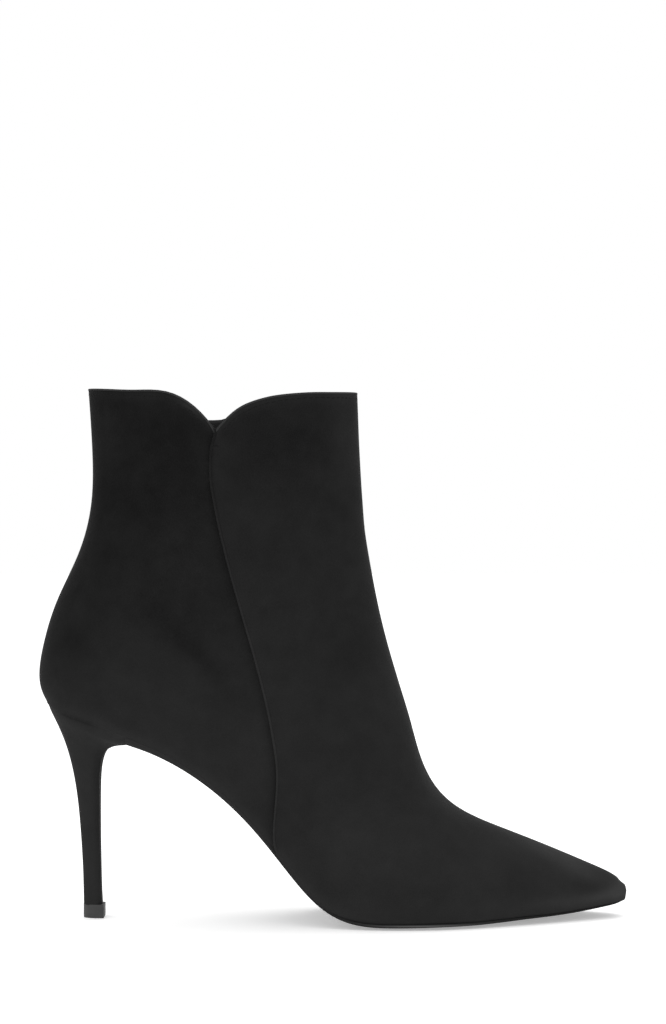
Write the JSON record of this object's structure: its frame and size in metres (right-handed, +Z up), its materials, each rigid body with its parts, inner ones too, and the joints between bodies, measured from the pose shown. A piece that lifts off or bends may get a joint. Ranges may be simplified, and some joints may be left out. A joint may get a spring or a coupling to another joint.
{
  "type": "ankle boot",
  "caption": "Right ankle boot in black suede with a pointed toe, a slim high heel and a lapped side seam that ends in a notch at the collar.",
  "frame": {"origin": "Middle of the boot's bounding box, on the floor", "axes": "+X towards the toe, +Y towards the inner side of the foot, +Z up"},
  "size_m": [0.2318, 0.0764, 0.2084],
  "materials": {
    "suede": "black suede with a short soft nap",
    "sole_leather": "black smooth sole leather, satin",
    "heel_suede": "black suede wrapped round a moulded heel",
    "top_piece": "dark grey hard rubber, matt",
    "insole_leather": "dark smooth sock leather"
  },
  "bodies": {
    "root": {"upper": "suede", "outsole": "sole_leather", "heel": "heel_suede", "heel_top_piece": "top_piece", "insole": "insole_leather"}
  },
  "joints": []
}
